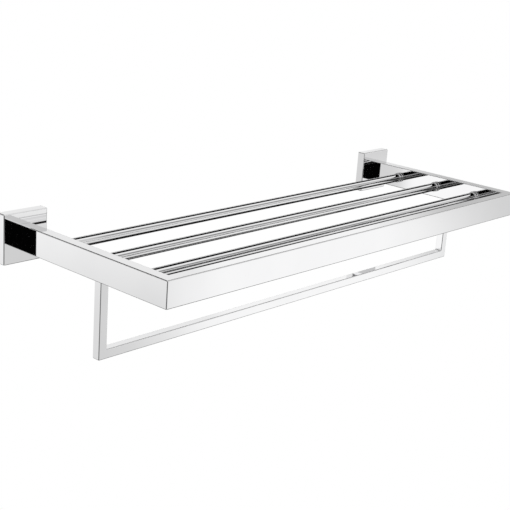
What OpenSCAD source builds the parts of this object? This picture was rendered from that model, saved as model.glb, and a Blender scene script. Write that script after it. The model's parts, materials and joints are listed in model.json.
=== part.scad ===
// Wall-mounted towel rack: a flat rectangular shelf frame with three round bars and a
// square towel bar hung below it.
// X runs along the wall, the front of the shelf faces -Y and +Z is up.
// The wall is the plane y = 0, and the origin lies midway between the two wall plates.

/* [Overall] */
// Width over the outer sides of the two wall plates
overall_w = 600; // [450:10:900]
// Distance from the wall to the front face of the shelf
projection = 215; // [200:5:260]

/* [Shelf frame] */
// Height of the side arms and of the front rail
frame_h = 26; // [24:1:32]
// Thickness of the side arms and of the front rail
frame_t = 12; // [12:0.5:16]
// Wall thickness of the tube that the arms and the rail are cut from
frame_wall = 1.5; // [1.2:0.1:1.5]
// Width of the fine chamfer along the outer edges
frame_edge = 0.6; // [0.3:0.1:0.8]
// Length of each corner key's two legs beyond the corner
key_reach = 28; // [20:1:30]

/* [Shelf bars] */
// Outer diameter of a shelf bar
bar_d = 10; // [10:0.5:11]
// Wall thickness of the shelf bar tube
bar_wall = 1; // [0.8:0.1:1.2]
// Distance from the wall to the centre of the rear bar
bar_first = 53; // [50:1:58]
// Distance from one shelf bar to the next
bar_pitch = 56; // [50:1:58]
// Diameter of the collar at each end of a bar
collar_d = 12; // [12:0.5:14]
// Length of the collar at each end of a bar
collar_len = 4; // [3:0.5:6]

/* [Wall fixing] */
// Width and height of a square wall plate
plate_w = 50; // [48:1:60]
// Depth of a wall plate from the wall to its front face
plate_t = 10; // [10:0.5:12]
// Distance between the two wall screws of one bracket
screw_gap = 30; // [28:1:32]
// Diameter of a wall screw hole
screw_hole_d = 5.5; // [4.5:0.5:6]

/* [Towel bar] */
// Width of the square section of the towel bar
towel_s = 9; // [9:0.5:10]
// Distance from the middle of the shelf down to the underside of the towel bar
towel_drop = 88; // [60:1:120]
// Distance from the wall to the front face of the towel bar
towel_front = 128; // [124:1:134]

/* [Hidden] */
$fn = 64;

// The arms stand on the middles of the wall plates
arm_x = (overall_w - plate_w) / 2;
frame_half = arm_x + frame_t / 2;
arm_inner = arm_x - frame_t / 2;
cavity_t = frame_t - 2 * frame_wall;
cavity_h = frame_h - 2 * frame_wall;
cut = 400;
over = 1;

// Wall plate: a shallow square cup with a seat for the end of the arm
plate_front = 3;
plate_side = 2.5;
plate_edge = 0.6;
seat_depth = 1;
arm_back = plate_t - seat_depth;
cup_w = plate_w - 2 * plate_side;
cup_depth = plate_t - plate_front;

// Wall bracket inside the cup
bracket_gap = 0.5;
bracket_w = cup_w - 2 * bracket_gap;
bracket_t = cup_depth - 0.5;
bracket_window_d = 16;
countersink_d = 9.5;
countersink_depth = 2.5;

// M4 grub screw in the underside of the plate
grub_d = 4;
grub_len = 6;
grub_recess = 0.5;
grub_hex = 2.3;
grub_hex_depth = 2.5;
grub_y = bracket_t / 2;

// M6 bolt that draws the arm against the plate
bolt_d = 6;
bolt_clearance = 6.4;
bolt_head_d = 10.5;
bolt_head_h = 3.2;
bolt_grip = 16;
bolt_hex = 4.6;
bolt_hex_depth = 2;
washer_d = 12;
washer_t = 1.2;
insert_len = 24;

// Spigots that carry the shelf bars
spigot_d = bar_d - 2 * bar_wall;
spigot_in_bar = 20;
spigot_in_arm = 4;
spigot_chamfer = 0.8;
collar_chamfer = 0.5;
bar_end = arm_inner - collar_len;
bar_y = [for (i = [0:2]) bar_first + i * bar_pitch];

// Towel bar, hung under the middle of each arm
towel_edge = 0.5;
towel_top = frame_h / 2;
leg_y = towel_front - towel_s / 2;
rail_z = towel_drop - towel_s / 2;
dowel_d = 2.5;
dowel_len = 8;

// M5 stud, nut and washer that hold a leg to its arm
stud_d = 5;
stud_in_leg = 16;
stud_in_arm = 9;
nut_af = 8;
nut_h = 4;
leg_washer_d = 8.8;
leg_washer_t = 1;

// Corner points of a rectangle w by h whose corners are cut by c
function cut_rectangle(w, h, c) = [
  for (q = [[1, 1, 0], [-1, 1, 1], [-1, -1, 0], [1, -1, 1]])
    for (k = [0, 1])
      k == q[2]
        ? [q[0] * w / 2, q[1] * (h / 2 - c)]
        : [q[0] * (w / 2 - c), q[1] * h / 2]
];

// Both sides of the rack: the drawn left-hand piece and its mirror image
module both_sides() {
  children();
  mirror([1, 0, 0]) children();
}

// A straight cylinder along +X from x0 to x1
module rod_x(d, x0, x1) {
  translate([x0, 0, 0]) rotate([0, 90, 0]) cylinder(d = d, h = x1 - x0);
}

// A straight cylinder along Y that starts y0 in front of the wall and ends at y1
module rod_y(d, y0, y1) {
  translate([0, -y0, 0]) rotate([90, 0, 0]) cylinder(d = d, h = y1 - y0);
}

// Solid that takes away one side of the 45 degree mitre at the front left corner
module frame_mitre(side) {
  translate([-frame_half, -projection, 0])
    rotate([0, 0, 45])
      translate([-cut / 2, side > 0 ? 0 : -cut, -cut / 2])
        cube(cut);
}

// Fine chamfer down the outer vertical edge of the front left corner
module corner_edge() {
  translate([-frame_half, -projection, 0])
    rotate([0, 0, 45])
      cube([frame_edge * sqrt(2), frame_edge * sqrt(2), frame_h + 2 * over], center = true);
}

// Rectangular tube section shared by the arms and the front rail
module frame_section() {
  difference() {
    polygon(cut_rectangle(frame_t, frame_h, frame_edge));
    square([cavity_t, cavity_h], center = true);
  }
}

// Left arm: tube with a mitred front end, bar holes inside and a stud hole below
module arm() {
  difference() {
    translate([-arm_x, -arm_back, 0])
      rotate([90, 0, 0])
        linear_extrude(projection - arm_back) frame_section();
    frame_mitre(-1);
    corner_edge();
    for (y = bar_y)
      translate([0, -y, 0]) rod_x(spigot_d, -arm_x, -arm_inner + over);
    translate([-arm_x, -leg_y, -frame_h / 2 - over])
      cylinder(d = stud_d, h = frame_wall + 2 * over);
  }
}

module left_arm() {
  color("gainsboro") arm();
}

module right_arm() {
  color("gainsboro") mirror([1, 0, 0]) arm();
}

// Front rail: the same tube, mitred at both ends
module front_rail() {
  color("whitesmoke")
    difference() {
      translate([-frame_half, -projection + frame_t / 2, 0])
        rotate([90, 0, 90])
          linear_extrude(2 * frame_half) frame_section();
      both_sides() {
        frame_mitre(1);
        corner_edge();
      }
    }
}

// L-shaped key that fills the mitred corner of the tubes
module corner_key() {
  inset = frame_wall;
  reach = frame_t + key_reach - inset;
  translate([-frame_half + inset, -projection + inset, -cavity_h / 2]) {
    cube([cavity_t, reach, cavity_h]);
    cube([reach, cavity_t, cavity_h]);
  }
}

module left_corner_key() {
  color("goldenrod") corner_key();
}

module right_corner_key() {
  color("goldenrod") mirror([1, 0, 0]) corner_key();
}

// Tapped block that closes the back end of an arm
module arm_insert() {
  difference() {
    translate([-arm_x - cavity_t / 2, -arm_back - insert_len, -cavity_h / 2])
      cube([cavity_t, insert_len, cavity_h]);
    translate([-arm_x, 0, 0]) rod_y(bolt_d, arm_back - over, plate_t - plate_front + bolt_grip);
  }
}

module left_arm_insert() {
  color("goldenrod") arm_insert();
}

module right_arm_insert() {
  color("goldenrod") mirror([1, 0, 0]) arm_insert();
}

// Wall plate: cup open towards the wall, chamfered round its front, seated for the arm
module wall_plate() {
  edge_cut = plate_edge * sqrt(2);
  translate([-arm_x, 0, 0])
    difference() {
      translate([-plate_w / 2, -plate_t, -plate_w / 2]) cube([plate_w, plate_t, plate_w]);
      for (turn = [0:90:270])
        rotate([0, turn, 0]) {
          translate([0, -plate_t, plate_w / 2])
            rotate([45, 0, 0]) cube([plate_w + 2 * over, edge_cut, edge_cut], center = true);
          translate([plate_w / 2, -plate_t / 2, plate_w / 2])
            rotate([0, 45, 0]) cube([edge_cut, plate_t + 2 * over, edge_cut], center = true);
        }
      translate([-cup_w / 2, -cup_depth, -cup_w / 2]) cube([cup_w, cup_depth + over, cup_w]);
      translate([0, -arm_back, 0])
        rotate([90, 0, 0])
          linear_extrude(seat_depth + over)
            polygon(cut_rectangle(frame_t, frame_h, frame_edge));
      rod_y(bolt_clearance, 0, plate_t);
      translate([0, -grub_y, -plate_w / 2 - over]) cylinder(d = grub_d, h = plate_side + 2 * over);
    }
}

module left_wall_plate() {
  color("lightgray") wall_plate();
}

module right_wall_plate() {
  color("lightgray") mirror([1, 0, 0]) wall_plate();
}

// Bracket that is screwed to the wall: two countersunk holes and a window for the bolt head
module wall_bracket() {
  translate([-arm_x, 0, 0])
    difference() {
      translate([-bracket_w / 2, -bracket_t, -bracket_w / 2])
        cube([bracket_w, bracket_t, bracket_w]);
      rod_y(bracket_window_d, -over, bracket_t + over);
      for (z = [-screw_gap / 2, screw_gap / 2])
        translate([0, 0, z]) {
          rod_y(screw_hole_d, -over, bracket_t + over);
          translate([0, -bracket_t + countersink_depth, 0])
            rotate([90, 0, 0])
              cylinder(d1 = screw_hole_d, d2 = countersink_d, h = countersink_depth);
        }
      translate([0, -grub_y, -bracket_w / 2 - over])
        cylinder(d = grub_d, h = grub_len + grub_recess - plate_side - bracket_gap + over);
    }
}

module left_wall_bracket() {
  color("darkgray") wall_bracket();
}

module right_wall_bracket() {
  color("darkgray") mirror([1, 0, 0]) wall_bracket();
}

// Grub screw with a hexagon socket, driven up through the underside of each plate
module grub_screws() {
  color("dimgray")
    both_sides()
      translate([-arm_x, -grub_y, -plate_w / 2 + grub_recess])
        difference() {
          cylinder(d = grub_d, h = grub_len);
          translate([0, 0, -over]) cylinder(d = grub_hex, h = grub_hex_depth + over, $fn = 6);
        }
}

// Button-head bolt through each plate into the arm's insert
module arm_bolts() {
  head_back = cup_depth - washer_t - bolt_head_h;
  color("dimgray")
    both_sides()
      translate([-arm_x, 0, 0])
        difference() {
          union() {
            rod_y(bolt_head_d, head_back, head_back + bolt_head_h);
            rod_y(bolt_d, head_back, cup_depth + bolt_grip);
          }
          translate([0, -head_back + over, 0])
            rotate([90, 0, 0]) cylinder(d = bolt_hex, h = bolt_hex_depth + over, $fn = 6);
        }
}

module arm_washers() {
  color("silver")
    both_sides()
      translate([-arm_x, 0, 0])
        difference() {
          rod_y(washer_d, cup_depth - washer_t, cup_depth);
          rod_y(bolt_d, cup_depth - washer_t - over, cup_depth + over);
        }
}

// One round shelf bar, a tube that runs from collar to collar
module shelf_bar(i) {
  color("silver")
    translate([0, -bar_y[i], 0])
      difference() {
        rod_x(bar_d, -bar_end, bar_end);
        rod_x(spigot_d, -bar_end - over, bar_end + over);
      }
}

module shelf_bar_rear() {
  shelf_bar(0);
}

module shelf_bar_middle() {
  shelf_bar(1);
}

module shelf_bar_front() {
  shelf_bar(2);
}

// Collars between the left arm and the bars, with softened outer edges
module bar_collars() {
  r = collar_d / 2;
  c = collar_chamfer;
  for (y = bar_y)
    translate([-arm_inner, -y, 0])
      rotate([0, 90, 0])
        rotate_extrude()
          polygon([
            [spigot_d / 2, 0], [r, 0], [r, collar_len - c],
            [r - c, collar_len], [spigot_d / 2, collar_len]
          ]);
}

module left_bar_collars() {
  color("darkgray") bar_collars();
}

module right_bar_collars() {
  color("darkgray") mirror([1, 0, 0]) bar_collars();
}

// Spigots pressed into the left ends of the bars and through the inner wall of the arm
module bar_spigots() {
  r = spigot_d / 2;
  c = spigot_chamfer;
  total = spigot_in_arm + frame_wall + collar_len + spigot_in_bar;
  for (y = bar_y)
    translate([-arm_inner - frame_wall - spigot_in_arm, -y, 0])
      rotate([0, 90, 0])
        rotate_extrude()
          polygon([[0, 0], [r - c, 0], [r, c], [r, total - c], [r - c, total], [0, total]]);
}

module left_bar_spigots() {
  color("goldenrod") bar_spigots();
}

module right_bar_spigots() {
  color("goldenrod") mirror([1, 0, 0]) bar_spigots();
}

// Solid that takes away one side of the 45 degree mitre at the towel bar's left corner
module towel_mitre(side) {
  translate([-arm_x, -leg_y, -rail_z])
    rotate([0, -45, 0])
      translate([-cut / 2, -cut / 2, side > 0 ? 0 : -cut])
        cube(cut);
}

// Hole for the dowel that crosses the towel bar's left mitre
module mitre_dowel() {
  translate([-arm_x, -leg_y, -rail_z])
    rotate([0, -45, 0]) cylinder(d = dowel_d, h = dowel_len, center = true);
}

// Left leg of the towel bar, mitred at the bottom and bored at the top for its stud
module towel_leg() {
  difference() {
    translate([-arm_x, -leg_y, -towel_drop])
      linear_extrude(towel_drop - towel_top)
        polygon(cut_rectangle(towel_s, towel_s, towel_edge));
    towel_mitre(-1);
    mitre_dowel();
    translate([-arm_x, -leg_y, -towel_top - stud_in_leg])
      cylinder(d = stud_d, h = stud_in_leg + over);
  }
}

module left_towel_leg() {
  color("lightgray") towel_leg();
}

module right_towel_leg() {
  color("lightgray") mirror([1, 0, 0]) towel_leg();
}

// Long bottom bar of the towel bar, mitred at both ends
module towel_rail() {
  color("gainsboro")
    difference() {
      translate([-arm_x - towel_s / 2, -leg_y, -rail_z])
        rotate([90, 0, 90])
          linear_extrude(2 * arm_x + towel_s)
            polygon(cut_rectangle(towel_s, towel_s, towel_edge));
      both_sides() {
        towel_mitre(1);
        mitre_dowel();
      }
    }
}

module towel_mitre_dowels() {
  color("dimgray") both_sides() mitre_dowel();
}

// Headless studs that join the legs to the arms
module leg_studs() {
  color("dimgray")
    both_sides()
      translate([-arm_x, -leg_y, -towel_top - stud_in_leg])
        cylinder(d = stud_d, h = stud_in_leg + stud_in_arm);
}

module leg_nuts() {
  color("dimgray")
    both_sides()
      translate([-arm_x, -leg_y, -towel_top + frame_wall + leg_washer_t])
        difference() {
          cylinder(d = nut_af / cos(30), h = nut_h, $fn = 6);
          translate([0, 0, -over]) cylinder(d = stud_d, h = nut_h + 2 * over);
        }
}

module leg_washers() {
  color("silver")
    both_sides()
      translate([-arm_x, -leg_y, -towel_top + frame_wall])
        difference() {
          cylinder(d = leg_washer_d, h = leg_washer_t);
          translate([0, 0, -over]) cylinder(d = stud_d, h = leg_washer_t + 2 * over);
        }
}

left_wall_plate();
right_wall_plate();
left_wall_bracket();
right_wall_bracket();
grub_screws();
left_arm();
right_arm();
front_rail();
left_arm_insert();
right_arm_insert();
arm_bolts();
arm_washers();
left_corner_key();
right_corner_key();
shelf_bar_rear();
shelf_bar_middle();
shelf_bar_front();
left_bar_collars();
right_bar_collars();
left_bar_spigots();
right_bar_spigots();
left_towel_leg();
right_towel_leg();
towel_rail();
towel_mitre_dowels();
leg_studs();
leg_nuts();
leg_washers();
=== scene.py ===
"""Chrome towel rack for a wall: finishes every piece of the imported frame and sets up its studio."""

import json
import math

import bmesh
import bpy
from bpy.props import FloatProperty, FloatVectorProperty, IntProperty, PointerProperty
from bpy.types import Operator, Panel, PropertyGroup
from mathutils import Matrix, Quaternion, Vector

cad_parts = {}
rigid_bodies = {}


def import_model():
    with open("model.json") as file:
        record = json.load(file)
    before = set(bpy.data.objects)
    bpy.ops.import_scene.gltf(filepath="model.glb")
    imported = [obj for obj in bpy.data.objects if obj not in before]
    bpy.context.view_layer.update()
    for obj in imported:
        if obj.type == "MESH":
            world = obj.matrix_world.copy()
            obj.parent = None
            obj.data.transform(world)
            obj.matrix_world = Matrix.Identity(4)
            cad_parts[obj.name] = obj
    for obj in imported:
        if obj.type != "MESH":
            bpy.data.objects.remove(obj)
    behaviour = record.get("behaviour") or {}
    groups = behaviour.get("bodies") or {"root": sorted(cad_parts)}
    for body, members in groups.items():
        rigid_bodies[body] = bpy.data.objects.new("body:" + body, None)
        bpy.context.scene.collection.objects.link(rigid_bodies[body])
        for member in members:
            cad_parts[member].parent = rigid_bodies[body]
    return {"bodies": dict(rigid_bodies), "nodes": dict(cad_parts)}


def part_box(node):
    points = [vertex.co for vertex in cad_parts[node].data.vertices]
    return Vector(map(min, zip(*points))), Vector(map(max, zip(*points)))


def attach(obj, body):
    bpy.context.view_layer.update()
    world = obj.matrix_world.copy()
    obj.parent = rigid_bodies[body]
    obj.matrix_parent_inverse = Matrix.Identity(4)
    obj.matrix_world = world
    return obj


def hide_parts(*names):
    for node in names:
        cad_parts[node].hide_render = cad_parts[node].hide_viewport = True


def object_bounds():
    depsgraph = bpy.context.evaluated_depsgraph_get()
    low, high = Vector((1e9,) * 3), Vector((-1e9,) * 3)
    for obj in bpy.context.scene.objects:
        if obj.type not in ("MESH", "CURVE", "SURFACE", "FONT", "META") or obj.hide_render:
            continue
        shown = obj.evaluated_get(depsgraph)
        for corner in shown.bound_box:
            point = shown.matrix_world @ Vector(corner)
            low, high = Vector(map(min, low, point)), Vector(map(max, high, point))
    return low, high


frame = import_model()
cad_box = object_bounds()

bl_info = {
    "name": "Chrome towel rack",
    "version": (1, 0, 0),
    "blender": (4, 5, 0),
    "location": "3D View > Sidebar > Towel rack",
    "description": "Finishes the pieces of a wall-mounted towel rack around its packed frame",
    "category": "Add Mesh",
}

BODY = next(iter(frame["bodies"]))
SIDES = {"left": -1, "right": 1}
MM = 0.001
FLOOR_THICKNESS = 10 * MM
SLIVER = 0.01 * MM       # points closer than this are one point
SEAM = 0.0001 * MM       # points this close were never apart
FLAT_LIMIT = 0.9999      # part of a face's normal along one axis above which it counts as flat
SMOOTH_DEGREES = 40      # edges sharper than this stay sharp
TOOL_SIDES = 48          # faces round a cutting tool
TOOL_DEPTH = 1.5         # depth of a blind cut, in thicknesses of the wall that it goes through
BARS = ("rear", "middle", "front")
BAR_RIM_STEPS = 2
COLLAR_RIM_STEPS = 5


# Sizes, colours and studio settings

class FrameSizes(PropertyGroup):
    """Flat shelf frame: two side arms and the front rail, cut from one rectangular tube"""

    edge_round: FloatProperty(
        name="Edge rounding", description="Radius along the polished outer edges",
        default=0.9 * MM, min=0.1 * MM, max=1.5 * MM, unit="LENGTH", precision=4)
    wall: FloatProperty(
        name="Tube wall", description="Wall thickness of the tube",
        default=1.5 * MM, min=0.8 * MM, max=3 * MM, unit="LENGTH", precision=4)
    edge_steps: IntProperty(
        name="Edge steps", description="Faces across each rounded edge", default=5, min=1, max=13)


class PlateSizes(PropertyGroup):
    """Square wall plates"""

    edge_round: FloatProperty(
        name="Edge rounding", description="Radius along the polished outer edges",
        default=1.0 * MM, min=0.1 * MM, max=1.5 * MM, unit="LENGTH", precision=4)
    front: FloatProperty(
        name="Front wall", description="Thickness of the plate's front",
        default=3 * MM, min=1 * MM, max=5 * MM, unit="LENGTH", precision=4)
    side: FloatProperty(
        name="Side wall", description="Thickness of the plate's four sides",
        default=2.5 * MM, min=1 * MM, max=4 * MM, unit="LENGTH", precision=4)
    bolt_hole: FloatProperty(
        name="Bolt hole", description="Diameter of the hole for the arm's bolt",
        default=6.4 * MM, min=4 * MM, max=9 * MM, unit="LENGTH", precision=4)
    seat_play: FloatProperty(
        name="Seat play", description="Gap all round the arm where it sits in the plate",
        default=0.05 * MM, min=0, max=0.3 * MM, unit="LENGTH", precision=5)


class BarSizes(PropertyGroup):
    """Round shelf bars with a collar at each end"""

    wall: FloatProperty(
        name="Tube wall", description="Wall thickness of a shelf bar",
        default=1 * MM, min=0.5 * MM, max=2 * MM, unit="LENGTH", precision=4)
    sides: IntProperty(
        name="Sides", description="Faces round a shelf bar and its collars",
        default=96, min=24, max=256)
    end_round: FloatProperty(
        name="End rounding", description="Radius on the rims of a bar's ends",
        default=0.15 * MM, min=0.05 * MM, max=0.4 * MM, unit="LENGTH", precision=5)
    collar_round: FloatProperty(
        name="Collar rounding", description="Radius on the rims of a collar",
        default=0.95 * MM, min=0.1 * MM, max=1.5 * MM, unit="LENGTH", precision=4)


class TowelBarSizes(PropertyGroup):
    """Square bar that hangs below the shelf"""

    edge_round: FloatProperty(
        name="Edge rounding", description="Radius along the polished outer edges",
        default=0.8 * MM, min=0.1 * MM, max=1.5 * MM, unit="LENGTH", precision=4)
    inner_round: FloatProperty(
        name="Inner corner", description="Radius of the polished weld inside each lower corner",
        default=1.0 * MM, min=0.2 * MM, max=5 * MM, unit="LENGTH", precision=4)


class Finishes(PropertyGroup):
    """Colours and gloss of the metals"""

    chrome: FloatVectorProperty(
        name="Chrome", description="Colour of the polished chrome",
        subtype="COLOR", size=3, min=0, max=1, default=(0.95, 0.95, 0.955))
    polish: FloatProperty(
        name="Polish", description="Roughness of the polished chrome",
        default=0.02, min=0, max=1, subtype="FACTOR")
    zinc: FloatVectorProperty(
        name="Zinc plate", description="Colour of the zinc-plated steel",
        subtype="COLOR", size=3, min=0, max=1, default=(0.62, 0.63, 0.65))
    steel: FloatVectorProperty(
        name="Dark steel", description="Colour of the oiled dark steel",
        subtype="COLOR", size=3, min=0, max=1, default=(0.12, 0.12, 0.125))
    brass: FloatVectorProperty(
        name="Brass", description="Colour of the turned brass",
        subtype="COLOR", size=3, min=0, max=1, default=(0.78, 0.57, 0.26))


class StudioSettings(PropertyGroup):
    """Floor, light and camera"""

    floor_drop: FloatProperty(
        name="Floor", description="How far the floor lies below the rack",
        default=1.7, min=0.1, max=5, unit="LENGTH")
    reach: FloatProperty(
        name="Reach", description="How far the floor and the backdrop reach from the rack",
        default=12, min=4, max=60, unit="LENGTH")
    azimuth: FloatProperty(
        name="Azimuth", description="Direction the camera looks from, round the rack",
        default=math.radians(-48.13), subtype="ANGLE")
    elevation: FloatProperty(
        name="Elevation", description="Height the camera looks from, above the horizon",
        default=math.radians(16.95), subtype="ANGLE")
    roll: FloatProperty(
        name="Roll", description="Turn of the camera about its line of sight",
        default=math.radians(4.09), subtype="ANGLE")
    distance: FloatProperty(
        name="Distance", description="Distance from the camera to the point that it looks at",
        default=1.2, min=0.3, max=10, unit="LENGTH")
    aim: FloatVectorProperty(
        name="Aim", description="Point that the camera looks at, from the middle of the rack",
        subtype="TRANSLATION", size=3, unit="LENGTH", default=(-0.0402, 0.0131, -0.0067))
    lens: FloatProperty(
        name="Lens", description="Focal length in millimetres", default=79.5, min=20, max=300)


class RackSettings(PropertyGroup):
    """All the settings of the towel rack"""

    frame: PointerProperty(type=FrameSizes)
    plates: PointerProperty(type=PlateSizes)
    bars: PointerProperty(type=BarSizes)
    towel_bar: PointerProperty(type=TowelBarSizes)
    finishes: PointerProperty(type=Finishes)
    studio: PointerProperty(type=StudioSettings)


def settings():
    return bpy.context.scene.towel_rack


# Node trees, written as expressions

class Signal:
    """An output socket. Arithmetic on it adds Math nodes to its tree."""

    def __init__(self, tree, socket):
        self.tree = tree
        self.socket = socket

    def math(self, operation, *values):
        """Result of one Math node whose inputs are these values, in order"""
        return self.tree.node("ShaderNodeMath", {"operation": operation}, enumerate(values))

    def __add__(self, other):
        return self.math("ADD", self, other)

    def __sub__(self, other):
        return self.math("SUBTRACT", self, other)

    def __mul__(self, other):
        return self.math("MULTIPLY", self, other)

    def __radd__(self, other):
        return self.math("ADD", other, self)

    def __rsub__(self, other):
        return self.math("SUBTRACT", other, self)

    def __rmul__(self, other):
        return self.math("MULTIPLY", other, self)

    def smooth(self, low, high, start=0.0, end=1.0):
        """Goes smoothly from start at low to end at high"""
        return self.tree.node(
            "ShaderNodeMapRange", {"interpolation_type": "SMOOTHSTEP"},
            enumerate([self, low, high, start, end]), "Result")


class Tree:
    """A node tree under construction"""

    def __init__(self, node_tree):
        self.nodes = node_tree.nodes
        self.links = node_tree.links

    def node(self, kind, options=None, inputs=(), output=0):
        """Adds a node, sets its options and then its sockets, and gives one of its outputs"""
        made = self.nodes.new(kind)
        for name, value in (options or {}).items():
            setattr(made, name, value)
        for name, value in dict(inputs).items():
            if isinstance(value, Signal):
                self.links.new(value.socket, made.inputs[name])
            elif value is not None:
                made.inputs[name].default_value = value
        return Signal(self, made.outputs[output]) if len(made.outputs) else made

    def split(self, vector):
        """The x, y and z of a vector"""
        first = self.node("ShaderNodeSeparateXYZ", {}, {"Vector": vector})
        return [Signal(self, output) for output in first.socket.node.outputs]


# Metals

# Patches a metre in each pattern, and how much tighter it is along X, Y and Z
FILM_PATCHES = 22.0
SPANGLE_PATCHES = 420.0
ROLLING_PATCHES = 260.0
ROLLING_STRETCH = (1.0, 1.0, 14.0)
MOTTLE_PATCHES = 300.0
DULL_PATCHES = 120.0
TURNING_PATCHES = 240.0
TURNING_STRETCH = (16.0, 1.0, 1.0)
RELIEF = 0.1 * MM        # height of rolling and turning marks


def new_material(name):
    """An empty material and the tree inside it"""
    material = bpy.data.materials.new(name)
    material.use_nodes = True
    material.node_tree.nodes.clear()
    return material, Tree(material.node_tree)


def metal_output(tree, values):
    """Ends a tree in a metal surface with these values"""
    surface = tree.node("ShaderNodeBsdfPrincipled", {}, {"Metallic": 1.0, **values})
    tree.node("ShaderNodeOutputMaterial", {}, {"Surface": surface})


def noise(tree, place, scale, detail=3.0, stretch=(1.0, 1.0, 1.0)):
    """Noise at a scale given in patches a metre, stretched along the axes"""
    spread = tree.node("ShaderNodeMapping", {}, {"Vector": place, "Scale": stretch})
    return tree.node(
        "ShaderNodeTexNoise", {}, {"Vector": spread, "Scale": scale, "Detail": detail}, "Fac")


def relief(tree, height, strength):
    """Shallow marks in a surface, as a normal"""
    return tree.node(
        "ShaderNodeBump", {},
        {"Strength": strength, "Distance": RELIEF, "Height": height}, "Normal")


def tinted(tree, colour, amount, factor):
    """A colour that darkens by this amount where factor is 1"""
    dark = [channel * (1 - amount) for channel in colour]
    return tree.node(
        "ShaderNodeMix", {"data_type": "RGBA"}, {0: factor, 6: (*colour, 1), 7: (*dark, 1)}, 2)


def chrome(name):
    """Polished chrome with a faint film that varies its gloss and tone"""
    finish = settings().finishes
    material, tree = new_material(name)
    place = tree.node("ShaderNodeTexCoord", {}, {}, "Object")
    film = noise(tree, place, FILM_PATCHES).smooth(0.35, 0.75)
    metal_output(tree, {
        "Base Color": tinted(tree, finish.chrome, 0.02, film),
        "Roughness": finish.polish + film * 0.01,
    })
    return material


def zinc_plated(name):
    """Zinc-plated steel: spangled tone with fine rolling lines"""
    material, tree = new_material(name)
    place = tree.node("ShaderNodeTexCoord", {}, {}, "Object")
    spangle = tree.node(
        "ShaderNodeTexVoronoi", {}, {"Vector": place, "Scale": SPANGLE_PATCHES}, "Distance")
    tone = spangle.smooth(0.1, 0.8)
    lines = noise(tree, place, ROLLING_PATCHES, 4.0, ROLLING_STRETCH).smooth(0.3, 0.7)
    metal_output(tree, {
        "Base Color": tinted(tree, settings().finishes.zinc, 0.15, tone),
        "Roughness": 0.3 + lines * 0.15,
        "Normal": relief(tree, lines, 0.12),
    })
    return material


def dark_steel(name):
    """Oiled dark steel with a mottled film"""
    material, tree = new_material(name)
    place = tree.node("ShaderNodeTexCoord", {}, {}, "Object")
    mottle = noise(tree, place, MOTTLE_PATCHES, 5.0).smooth(0.3, 0.7)
    metal_output(tree, {
        "Base Color": tinted(tree, settings().finishes.steel, 0.4, mottle),
        "Roughness": 0.32 + mottle * 0.16,
    })
    return material


def turned_brass(name):
    """Brass with faint turning marks and a dull film"""
    material, tree = new_material(name)
    place = tree.node("ShaderNodeTexCoord", {}, {}, "Object")
    film = noise(tree, place, DULL_PATCHES, 4.0).smooth(0.3, 0.75)
    marks = noise(tree, place, TURNING_PATCHES, 2.0, TURNING_STRETCH).smooth(0.35, 0.65)
    metal_output(tree, {
        "Base Color": tinted(tree, settings().finishes.brass, 0.2, film),
        "Roughness": 0.24 + film * 0.14,
        "Normal": relief(tree, marks, 0.1),
    })
    return material


FINISHES = {
    "chrome_frame": chrome,
    "chrome_plates": chrome,
    "chrome_bars": chrome,
    "chrome_collars": chrome,
    "chrome_towel_bar": chrome,
    "zinc_steel": zinc_plated,
    "dark_steel": dark_steel,
    "brass_inserts": turned_brass,
}


def finish(slot):
    """The finish of one of the record's material slots, made when it is first asked for"""
    name = f"{slot}_finish"
    return bpy.data.materials.get(name) or FINISHES[slot](name)


# Meshes

def new_piece(name, mesh):
    piece = bpy.data.objects.new(name, mesh)
    bpy.context.scene.collection.objects.link(piece)
    return piece


def discard(*pieces):
    """Removes helper objects and their meshes"""
    for piece in pieces:
        mesh = piece.data
        bpy.data.objects.remove(piece)
        bpy.data.meshes.remove(mesh)


def prism(name, outline, low, high, place):
    """Solid with this outline, from low to high along the third axis that place(u, v, w) has"""
    solid = bmesh.new()
    lower = [solid.verts.new(place(u, v, low)) for u, v in outline]
    upper = [solid.verts.new(place(u, v, high)) for u, v in outline]
    solid.faces.new(lower)
    solid.faces.new(upper)
    for i in range(len(outline)):
        j = (i + 1) % len(outline)
        solid.faces.new([lower[i], lower[j], upper[j], upper[i]])
    bmesh.ops.recalc_face_normals(solid, faces=solid.faces)
    mesh = bpy.data.meshes.new(name)
    solid.to_mesh(mesh)
    solid.free()
    return new_piece(name, mesh)


def flat(u, v, w):
    """Outline seen from above, raised along Z"""
    return u, v, w


def upright(u, v, w):
    """Outline seen from the front, run along Y"""
    return u, w, v


def sideways(u, v, w):
    """Outline seen from the side, run along X"""
    return w, u, v


def block(name, low, high):
    """Rectangular solid between two corners"""
    outline = [(low[0], low[1]), (high[0], low[1]), (high[0], high[1]), (low[0], high[1])]
    return prism(name, outline, low[2], high[2], flat)


def rod(name, start, end, radius):
    """Straight round solid from start to end"""
    axis = Vector(end) - Vector(start)
    solid = bmesh.new()
    turn = axis.to_track_quat("Z", "Y").to_matrix().to_4x4()
    middle = Matrix.Translation((Vector(start) + Vector(end)) / 2)
    bmesh.ops.create_cone(
        solid, cap_ends=True, segments=TOOL_SIDES, radius1=radius, radius2=radius,
        depth=axis.length, matrix=middle @ turn)
    mesh = bpy.data.meshes.new(name)
    solid.to_mesh(mesh)
    solid.free()
    return new_piece(name, mesh)


def round_edges(piece, radius, steps, chosen):
    """Rounds the edges of a piece for which chosen(start, end) is true"""
    solid = bmesh.new()
    solid.from_mesh(piece.data)
    edges = [e for e in solid.edges if chosen(e.verts[0].co, e.verts[1].co)]
    bmesh.ops.bevel(
        solid, geom=edges, offset=radius, offset_type="OFFSET", segments=steps, profile=0.5,
        affect="EDGES", clamp_overlap=False)
    bmesh.ops.recalc_face_normals(solid, faces=solid.faces)
    solid.to_mesh(piece.data)
    solid.free()


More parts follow.
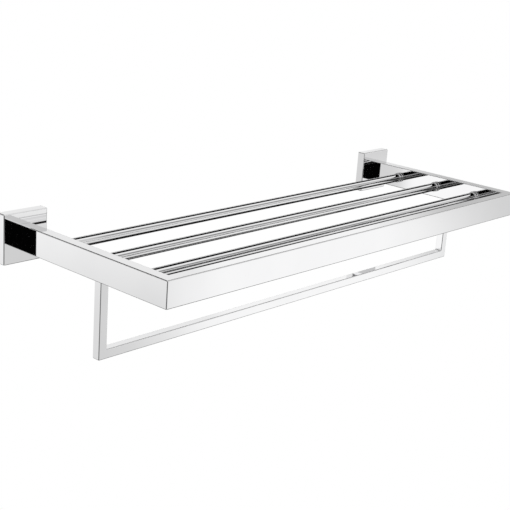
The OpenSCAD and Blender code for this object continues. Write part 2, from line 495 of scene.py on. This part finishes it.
def bake(piece):
    """Turns what a piece's modifiers make of it into its plain mesh"""
    graph = bpy.context.evaluated_depsgraph_get()
    mesh = bpy.data.meshes.new_from_object(
        piece.evaluated_get(graph), preserve_all_data_layers=True, depsgraph=graph)
    old = piece.data
    piece.modifiers.clear()
    piece.data = mesh
    bpy.data.meshes.remove(old)


def mend(piece):
    """Merges doubled points and removes slivers, and leaves the facing of every face alone"""
    solid = bmesh.new()
    solid.from_mesh(piece.data)
    bmesh.ops.remove_doubles(solid, verts=solid.verts, dist=SLIVER)
    bmesh.ops.dissolve_degenerate(solid, edges=solid.edges, dist=SLIVER)
    solid.to_mesh(piece.data)
    solid.free()


def carve(piece, *cutters, operation="DIFFERENCE"):
    """Cuts these solids out of a piece, or keeps only what lies in them"""
    for cutter in cutters:
        modifier = piece.modifiers.new("Cut", "BOOLEAN")
        modifier.operation = operation
        modifier.solver = "EXACT"
        modifier.object = cutter
    bake(piece)
    mend(piece)


def copy_of(piece, name):
    return new_piece(name, piece.data.copy())


def polish(piece):
    """Shades rounded edges smooth, and keeps each face that lies square to an axis truly flat"""
    mesh = piece.data
    mesh.polygons.foreach_set("use_smooth", [True] * len(mesh.polygons))
    mesh.set_sharp_from_angle(angle=math.radians(SMOOTH_DEGREES))
    smooth_limit = math.cos(math.radians(SMOOTH_DEGREES))
    meeting = [[] for _ in mesh.vertices]
    for face in mesh.polygons:
        for corner in face.vertices:
            meeting[corner].append((face.normal.copy(), face.area))
    shaded = []
    for face in mesh.polygons:
        for corner in face.vertices:
            near = [
                (normal, area) for normal, area in meeting[corner]
                if normal.dot(face.normal) > smooth_limit
            ]
            square = [
                normal for normal, area in near
                if max(abs(part) for part in normal) > FLAT_LIMIT
            ]
            if square:
                shaded.append(max(square, key=face.normal.dot))
            else:
                average = sum((normal * area for normal, area in near), Vector())
                shaded.append(average.normalized())
    mesh.normals_split_custom_set(shaded)


def fit(piece, slot, *nodes):
    """Gives a finished piece its metal and puts it on the rack in place of its CAD nodes"""
    piece.data.materials.clear()
    piece.data.materials.append(finish(slot))
    piece.data.name = piece.name
    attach(piece, BODY)
    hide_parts(*nodes)
    return piece


def coat(node, slot):
    """Gives a CAD node its metal"""
    mesh = frame["nodes"][node].data
    mesh.materials.clear()
    mesh.materials.append(finish(slot))


# Shelf frame

def u_outline(half, inner, back, front, inside):
    """Outline of a U: outer half width, inner half width, its open ends, its front and its inside"""
    return [
        (-half, back), (-half, front), (half, front), (half, back),
        (inner, back), (inner, inside), (-inner, inside), (-inner, back),
    ]


def mitre_wedge(name, corner, spread, low, high, side, place):
    """Solid on the arm's side of the 45 degree plane through one corner of a frame"""
    u, v = corner
    outer, inner = u + side * spread, u - side * spread
    triangle = [(outer, v - spread), (outer, v + spread), (inner, v + spread)]
    return prism(name, triangle, low, high, place)


class TOWELRACK_OT_shelf_frame(Operator):
    """Builds the two side arms and the front rail with mitred corners"""

    bl_idname = "towel_rack.shelf_frame"
    bl_label = "Shelf frame"

    def execute(self, context):
        sizes = settings().frame
        arm_low, arm_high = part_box("left_arm")
        rail_low, rail_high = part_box("front_rail")
        half, front, back = -arm_low.x, rail_low.y, arm_high.y
        inner, inside = -arm_high.x, rail_high.y
        low, high = rail_low.z, rail_high.z
        loop = prism("loop", u_outline(half, inner, back, front, inside), low, high, flat)

        def rounded(a, b):
            if abs(a.z - b.z) > sizes.wall:
                return abs(a.y - front) < sizes.wall
            return not (abs(a.y - back) < sizes.wall and abs(b.y - back) < sizes.wall)

        round_edges(loop, sizes.edge_round, sizes.edge_steps, rounded)
        wall = sizes.wall
        hollow = prism(
            "hollow",
            u_outline(half - wall, inner + wall, back + wall, front + wall, inside - wall),
            low + wall, high - wall, flat)
        bars = [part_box(f"shelf_bar_{place}") for place in BARS]
        holes = []
        for bar_low, bar_high in bars:
            middle = (bar_low + bar_high) / 2
            radius = (bar_high.z - bar_low.z) / 2 - settings().bars.wall
            reach = inner + wall * TOOL_DEPTH
            start = (-reach, middle.y, middle.z)
            holes.append(rod("hole", start, (reach, middle.y, middle.z), radius))
        stud_low, stud_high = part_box("leg_studs")
        stud_radius = (stud_high.y - stud_low.y) / 2
        for side in SIDES.values():
            x = side * (half + inner) / 2
            y = (stud_low.y + stud_high.y) / 2
            top = low + wall * TOOL_DEPTH
            holes.append(rod("hole", (x, y, low - wall), (x, y, top), stud_radius))
        carve(loop, hollow, *holes)
        spread = back - front + wall
        corners = {
            name: mitre_wedge("mitre", (side * half, front), spread, low - wall, high + wall, side, flat)
            for name, side in SIDES.items()
        }
        for name in SIDES:
            arm = copy_of(loop, f"{name}_arm_tube")
            carve(arm, corners[name], operation="INTERSECT")
            polish(arm)
            fit(arm, "chrome_frame", f"{name}_arm")
        rail = copy_of(loop, "front_rail_tube")
        carve(rail, *corners.values())
        polish(rail)
        fit(rail, "chrome_frame", "front_rail")
        discard(loop, hollow, *holes, *corners.values())
        return {"FINISHED"}


class TOWELRACK_OT_wall_plates(Operator):
    """Builds the two square wall plates as cups with a seat for the arm"""

    bl_idname = "towel_rack.wall_plates"
    bl_label = "Wall plates"

    def execute(self, context):
        sizes = settings().plates
        for name, side in SIDES.items():
            low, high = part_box(f"{name}_wall_plate")
            arm_low, arm_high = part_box(f"{name}_arm")
            plate = block(f"{name}_plate_cover", low, high)

            def rounded(a, b):
                return not (abs(a.y - high.y) < sizes.side and abs(b.y - high.y) < sizes.side)

            round_edges(plate, sizes.edge_round, settings().frame.edge_steps, rounded)
            cup = block(
                "cup", (low.x + sizes.side, low.y + sizes.front, low.z + sizes.side),
                (high.x - sizes.side, high.y + sizes.side, high.z - sizes.side))
            play = Vector((sizes.seat_play, 0, sizes.seat_play))
            seat = block("seat", arm_low - play, arm_high + play)
            round_edges(
                seat, settings().frame.edge_round, settings().frame.edge_steps,
                lambda a, b: abs(a.y - b.y) > sizes.side)
            middle = (low + high) / 2
            bolt = rod("bolt", (middle.x, low.y - sizes.side, middle.z),
                       (middle.x, high.y + sizes.side, middle.z), sizes.bolt_hole / 2)
            grub_low, grub_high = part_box("grub_screws")
            grub = rod(
                "grub", (middle.x, (grub_low.y + grub_high.y) / 2, low.z - sizes.side),
                (middle.x, (grub_low.y + grub_high.y) / 2, low.z + sizes.side * TOOL_DEPTH),
                (grub_high.y - grub_low.y) / 2)
            carve(plate, cup, seat, bolt, grub)
            polish(plate)
            fit(plate, "chrome_plates", f"{name}_wall_plate")
            discard(cup, seat, bolt, grub)
        return {"FINISHED"}


# Shelf bars and collars, turned by Geometry Nodes

def turned_tree(name):
    """Tree that turns a rectangular wall about the X axis and lays it at each place in a row"""
    group = bpy.data.node_groups.new(name, "GeometryNodeTree")
    tree = Tree(group)
    group.interface.new_socket("Geometry", in_out="OUTPUT", socket_type="NodeSocketGeometry")
    kinds = {
        "Length": "NodeSocketFloat", "Outer radius": "NodeSocketFloat", "Wall": "NodeSocketFloat",
        "Rim radius": "NodeSocketFloat", "Sides": "NodeSocketInt", "Rim steps": "NodeSocketInt",
        "Middle": "NodeSocketVector", "Count": "NodeSocketInt", "Step": "NodeSocketVector",
        "Metal": "NodeSocketMaterial",
    }
    for label, kind in kinds.items():
        group.interface.new_socket(label, in_out="INPUT", socket_type=kind)
    entry = tree.node("NodeGroupInput").socket.node
    given = {label: Signal(tree, entry.outputs[label]) for label in kinds}
    path = tree.node("GeometryNodeCurvePrimitiveCircle", {"mode": "RADIUS"}, {
        "Resolution": given["Sides"], "Radius": given["Outer radius"] - given["Wall"] * 0.5}, "Curve")
    section = tree.node("GeometryNodeCurvePrimitiveQuadrilateral", {"mode": "RECTANGLE"}, {
        "Width": given["Wall"], "Height": given["Length"]}, "Curve")
    eased = tree.node("GeometryNodeFilletCurve", {"mode": "POLY"}, {
        "Curve": section, "Radius": given["Rim radius"], "Count": given["Rim steps"],
        "Limit Radius": True}, "Curve")
    ring = tree.node("GeometryNodeCurveToMesh", {}, {"Curve": path, "Profile Curve": eased}, "Mesh")
    laid = tree.node("GeometryNodeTransform", {}, {
        "Geometry": ring, "Rotation": (0, math.pi / 2, 0)}, "Geometry")
    row = tree.node("GeometryNodeMeshLine", {"mode": "OFFSET"}, {
        "Count": given["Count"], "Start Location": given["Middle"], "Offset": given["Step"]}, "Mesh")
    placed = tree.node(
        "GeometryNodeInstanceOnPoints", {}, {"Points": row, "Instance": laid}, "Instances")
    real = tree.node("GeometryNodeRealizeInstances", {}, {"Geometry": placed}, "Geometry")
    coated = tree.node(
        "GeometryNodeSetMaterial", {}, {"Geometry": real, "Material": given["Metal"]}, "Geometry")
    tree.node("NodeGroupOutput", {}, {"Geometry": coated})
    return group


def grown(name, group, values):
    """A plain mesh piece grown by a node group with these values for its named inputs"""
    piece = new_piece(name, bpy.data.meshes.new(name))
    modifier = piece.modifiers.new("Grow", "NODES")
    modifier.node_group = group
    sockets = {
        item.name: item.identifier
        for item in group.interface.items_tree if item.in_out == "INPUT"
    }
    for label, value in values.items():
        modifier[sockets[label]] = value
    bake(piece)
    return piece


def face_out(piece):
    """Merges doubled points and turns every face outwards"""
    solid = bmesh.new()
    solid.from_mesh(piece.data)
    bmesh.ops.remove_doubles(solid, verts=solid.verts, dist=SEAM)
    bmesh.ops.recalc_face_normals(solid, faces=solid.faces)
    solid.to_mesh(piece.data)
    solid.free()


class TOWELRACK_OT_shelf_bars(Operator):
    """Builds the three round shelf bars"""

    bl_idname = "towel_rack.shelf_bars"
    bl_label = "Shelf bars"

    def execute(self, context):
        sizes = settings().bars
        group = turned_tree("turned_bar")
        for place in BARS:
            low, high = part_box(f"shelf_bar_{place}")
            bar = grown(f"{place}_bar_tube", group, {
                "Length": high.x - low.x, "Outer radius": (high.z - low.z) / 2, "Wall": sizes.wall,
                "Rim radius": sizes.end_round, "Sides": sizes.sides,
                "Rim steps": BAR_RIM_STEPS, "Middle": (low + high) / 2, "Count": 1,
                "Step": (0, 0, 0), "Metal": finish("chrome_bars"),
            })
            face_out(bar)
            polish(bar)
            fit(bar, "chrome_bars", f"shelf_bar_{place}")
        return {"FINISHED"}


class TOWELRACK_OT_bar_collars(Operator):
    """Builds the collars between the arms and the shelf bars"""

    bl_idname = "towel_rack.bar_collars"
    bl_label = "Bar collars"

    def execute(self, context):
        sizes = settings().bars
        group = turned_tree("turned_collar")
        rear_low, rear_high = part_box("shelf_bar_rear")
        front_low, front_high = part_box("shelf_bar_front")
        step = (front_low.y - rear_low.y) / (len(BARS) - 1)
        bar_radius = (rear_high.z - rear_low.z) / 2
        for name in SIDES:
            low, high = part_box(f"{name}_bar_collars")
            radius = (high.z - low.z) / 2
            collars = grown(f"{name}_collars", group, {
                "Length": high.x - low.x, "Outer radius": radius,
                "Wall": radius - bar_radius + sizes.wall, "Rim radius": sizes.collar_round,
                "Sides": sizes.sides, "Rim steps": COLLAR_RIM_STEPS,
                "Middle": ((low.x + high.x) / 2, (rear_low.y + rear_high.y) / 2, 0),
                "Count": len(BARS), "Step": (0, step, 0), "Metal": finish("chrome_collars"),
            })
            face_out(collars)
            polish(collars)
            fit(collars, "chrome_collars", f"{name}_bar_collars")
        return {"FINISHED"}


class TOWELRACK_OT_towel_bar(Operator):
    """Builds the square towel bar: two legs and the long rail, mitred at the corners"""

    bl_idname = "towel_rack.towel_bar"
    bl_label = "Towel bar"

    def execute(self, context):
        sizes = settings().towel_bar
        steps = settings().frame.edge_steps
        leg_low, leg_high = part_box("left_towel_leg")
        rail_low, rail_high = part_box("towel_rail")
        half, inner = rail_high.x, -leg_high.x
        bottom, inside, top = rail_low.z, rail_high.z, leg_high.z
        front, back = rail_low.y, rail_high.y
        loop = prism("towel_loop", u_outline(half, inner, top, bottom, inside), front, back, upright)
        section = half - inner

        near = section / 4

        def inner_corner(a, b):
            runs_back = abs(a.y - b.y) > section / 2
            inside_bar = abs(a.x) < half - section / 2
            return runs_back and abs(a.z - inside) < section / 2 and inside_bar

        def long_edge(a, b):
            if abs(a.y - b.y) > section / 2:
                return abs(a.z - bottom) < near and abs(abs(a.x) - half) < near
            return not (abs(a.z - top) < near and abs(b.z - top) < near)

        round_edges(loop, sizes.inner_round, steps, inner_corner)
        round_edges(loop, sizes.edge_round, steps, long_edge)
        stud_low, stud_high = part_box("leg_studs")
        radius = (stud_high.y - stud_low.y) / 2
        y = (front + back) / 2
        holes = []
        for side in SIDES.values():
            x = side * (half + inner) / 2
            holes.append(rod("hole", (x, y, stud_low.z), (x, y, top + section), radius))
        carve(loop, *holes)
        spread = top - bottom + section
        corners = {
            name: mitre_wedge(
                "mitre", (side * half, bottom), spread, front - section, back + section, side, upright)
            for name, side in SIDES.items()
        }
        for name in SIDES:
            leg = copy_of(loop, f"{name}_leg_bar")
            carve(leg, corners[name], operation="INTERSECT")
            polish(leg)
            fit(leg, "chrome_towel_bar", f"{name}_towel_leg")
        rail = copy_of(loop, "towel_rail_bar")
        carve(rail, *corners.values())
        polish(rail)
        fit(rail, "chrome_towel_bar", "towel_rail")
        discard(loop, *holes, *corners.values())
        return {"FINISHED"}


# Pieces that stay as the CAD has them

HIDDEN_NODES = {
    "zinc_steel": ["left_wall_bracket", "right_wall_bracket", "arm_washers", "leg_washers"],
    "dark_steel": ["grub_screws", "arm_bolts", "leg_studs", "leg_nuts", "towel_mitre_dowels"],
    "brass_inserts": [
        "left_arm_insert", "right_arm_insert", "left_corner_key", "right_corner_key",
        "left_bar_spigots", "right_bar_spigots",
    ],
}


class TOWELRACK_OT_inner_pieces(Operator):
    """Gives the brackets, keys, spigots and fasteners inside the rack their metals"""

    bl_idname = "towel_rack.inner_pieces"
    bl_label = "Inner pieces"

    def execute(self, context):
        for slot, nodes in HIDDEN_NODES.items():
            for node in nodes:
                coat(node, slot)
        return {"FINISHED"}


# Studio

# Soft light and shade round the rack: tone, two spans, and how soft the edges of each are.
# The spans of a panel are its azimuth from X towards Y and its elevation, in degrees.
PANELS = {
    "ceiling": (0.80, (-180, 180), (55, 120), (1, 20)),
    "left front dusk": (0.10, (-186, -84), (-45, 14), (40, 16)),
    "front floor": (0.83, (-75, -15), (-30, -3), (12, 8)),
    "front light": (0.99, (-47, -31.5), (-22.5, -12.8), (8, 5)),
    "plate light": (0.94, (-58, -51), (-15.8, -9), (2, 1.5)),
    "left low light": (0.97, (108, 141), (-18, 2), (6, 6)),
    "left low shade": (0.85, (141.5, 145.3), (-26, 2), (1.5, 6)),
    "left low window": (0.995, (145.6, 158), (-21, 2), (1, 6)),
    "back dark side": (0.0, (60, 185), (22.5, 47), (8, 3)),
    "floor shade": (0.10, (-45, 125), (-62, -35), (24, 9)),
}

# The spans of a strip, which runs beside the bars, are its turn about X from Y towards Z,
# in degrees, and its lean along X, from -1 to 1.
STRIPS = {
    "under shade": (0.10, (-124, -37), (0.595, 1.2), (16, 0.01)),
    "back low shade": (0.05, (-18, 16), (0.595, 0.87), (3, 0.02)),
    "back low light": (0.93, (16.5, 32), (0.3, 1.2), (1, 0.1)),
    "back low highlight": (0.975, (16.5, 32), (0.68, 0.785), (1, 0.02)),
    "back low dimming": (0.76, (16.5, 32), (0.81, 1.2), (1, 0.04)),
    "back dark": (0.0, (32.5, 86), (0.590, 1.2), (1, 0.006)),
    "upper stripe": (0.96, (92, 117), (0.5, 1.2), (6, 0.1)),
    "upper front": (0.80, (117, 168), (0.5, 1.2), (8, 0.1)),
    "middle line": (0.45, (131, 147), (0.615, 0.785), (6, 0.02)),
    "front horizon": (0.97, (168, 188), (0.5, 1.2), (4, 0.1)),
    "far upper dark": (0.0, (-13, 148), (-0.87, -0.5), (3, 0.04)),
    "far back low light": (0.93, (16.5, 32), (-1.2, -0.3), (1, 0.1)),
    "far lower dark": (0.0, (170, 325), (-0.87, -0.5), (4, 0.04)),
    "far low dusk": (0.50, (192, 228), (-0.95, -0.42), (8, 0.1)),
    "near flag": (0.0, (191, 212), (-0.635, -0.52), (3, 0.04)),
    "far flag": (0.0, (191, 212), (-0.87, -0.755), (3, 0.04)),
}


BASE_TONE = 0.88         # tone of the studio where no panel or strip is
DOME_SEGMENTS = 64


def linear(tone):
    """Light level of a display tone from 0 to 1"""
    return ((tone + 0.055) / 1.055) ** 2.4


def within(value, span, edge, turns=False):
    """1 inside the span, 0 outside, with a soft edge this wide"""
    low, high = span
    off = value - (low + high) / 2
    if turns:
        off = off.math("WRAP", off, 180.0, -180.0)
    half = (high - low) / 2
    return off.math("ABSOLUTE", off).smooth(half - edge / 2, half + edge / 2, 1.0, 0.0)


def studio_world():
    """Pale studio with soft light and dark panels in set directions round the rack"""
    world = bpy.data.worlds.new("studio")
    world.use_nodes = True
    world.node_tree.nodes.clear()
    tree = Tree(world.node_tree)
    direction = tree.node("ShaderNodeTexCoord", {}, {}, "Generated")
    x, y, z = tree.split(direction)
    degrees = math.degrees(1)
    azimuth = y.math("ARCTAN2", y, x) * degrees
    elevation = z.math("ARCSINE", z) * degrees
    turn = z.math("ARCTAN2", z, y) * degrees
    level = linear(BASE_TONE)
    for spans, first, second in ((PANELS, azimuth, elevation), (STRIPS, turn, x)):
        for tone, around, along, soft in spans.values():
            mask = within(first, around, soft[0], turns=True) * within(second, along, soft[1])
            level = level + (linear(tone) - level) * mask
    light = tree.node("ShaderNodeBackground", {}, {"Color": (1, 1, 1, 1), "Strength": level})
    tree.node("ShaderNodeOutputWorld", {}, {"Surface": light})
    bpy.context.scene.world = world


def plain_white(name):
    """Even white that gives off its own light"""
    material, tree = new_material(name)
    glow = tree.node("ShaderNodeEmission", {}, {"Color": (1, 1, 1, 1), "Strength": 1.0})
    tree.node("ShaderNodeOutputMaterial", {}, {"Surface": glow})
    return material


class TOWELRACK_OT_studio(Operator):
    """Lays the floor and sets the light and the camera"""

    bl_idname = "towel_rack.studio"
    bl_label = "Studio"

    def execute(self, context):
        studio = settings().studio
        low, high = cad_box
        middle = (low + high) / 2
        ground = low.z - studio.floor_drop
        reach = studio.reach
        floor = block("floor", (-reach, -reach, ground - FLOOR_THICKNESS), (reach, reach, ground))
        dome = new_piece("backdrop", bpy.data.meshes.new("backdrop"))
        shell = bmesh.new()
        bmesh.ops.create_uvsphere(
            shell, u_segments=DOME_SEGMENTS, v_segments=DOME_SEGMENTS // 2, radius=reach)
        bmesh.ops.reverse_faces(shell, faces=shell.faces)
        shell.to_mesh(dome.data)
        shell.free()
        white = plain_white("studio_white")
        for backdrop in (floor, dome):
            backdrop.data.materials.append(white)
            backdrop.visible_glossy = False
            backdrop.visible_diffuse = False
            backdrop.visible_shadow = False
        studio_world()
        turn, rise = studio.azimuth, studio.elevation
        flat_reach = math.cos(rise)
        back = Vector((math.sin(turn) * flat_reach, -math.cos(turn) * flat_reach, math.sin(rise)))
        camera = bpy.data.objects.new("camera", bpy.data.cameras.new("camera"))
        camera.data.lens = studio.lens
        camera.rotation_mode = "QUATERNION"
        camera.location = middle + Vector(studio.aim) + back * studio.distance
        facing = (-back).to_track_quat("-Z", "Y")
        camera.rotation_quaternion = facing @ Quaternion((0, 0, 1), studio.roll)
        context.scene.collection.objects.link(camera)
        context.scene.camera = camera
        context.scene.view_settings.view_transform = "Standard"
        return {"FINISHED"}


# Panel and add-on

STEPS = [
    TOWELRACK_OT_studio,
    TOWELRACK_OT_shelf_frame,
    TOWELRACK_OT_wall_plates,
    TOWELRACK_OT_shelf_bars,
    TOWELRACK_OT_bar_collars,
    TOWELRACK_OT_towel_bar,
    TOWELRACK_OT_inner_pieces,
]


class TOWELRACK_PT_sidebar(Panel):
    """Lists the rack's operators and settings"""

    bl_label = "Towel rack"
    bl_idname = "TOWELRACK_PT_sidebar"
    bl_space_type = "VIEW_3D"
    bl_region_type = "UI"
    bl_category = "Towel rack"

    def draw(self, context):
        for step in STEPS:
            self.layout.operator(step.bl_idname)
        rack = context.scene.towel_rack
        for group in (rack.frame, rack.plates, rack.bars, rack.towel_bar, rack.finishes, rack.studio):
            box = self.layout.box()
            for name in group.__annotations__:
                box.prop(group, name)


CLASSES = [
    FrameSizes, PlateSizes, BarSizes, TowelBarSizes, Finishes, StudioSettings, RackSettings,
    *STEPS, TOWELRACK_PT_sidebar,
]


def register():
    for item in CLASSES:
        bpy.utils.register_class(item)
    bpy.types.Scene.towel_rack = PointerProperty(type=RackSettings)


def unregister():
    del bpy.types.Scene.towel_rack
    for item in reversed(CLASSES):
        bpy.utils.unregister_class(item)


def main():
    register()
    for step in STEPS:
        category, name = step.bl_idname.split(".")
        getattr(getattr(bpy.ops, category), name)()


if __name__ == "__main__":
    main()
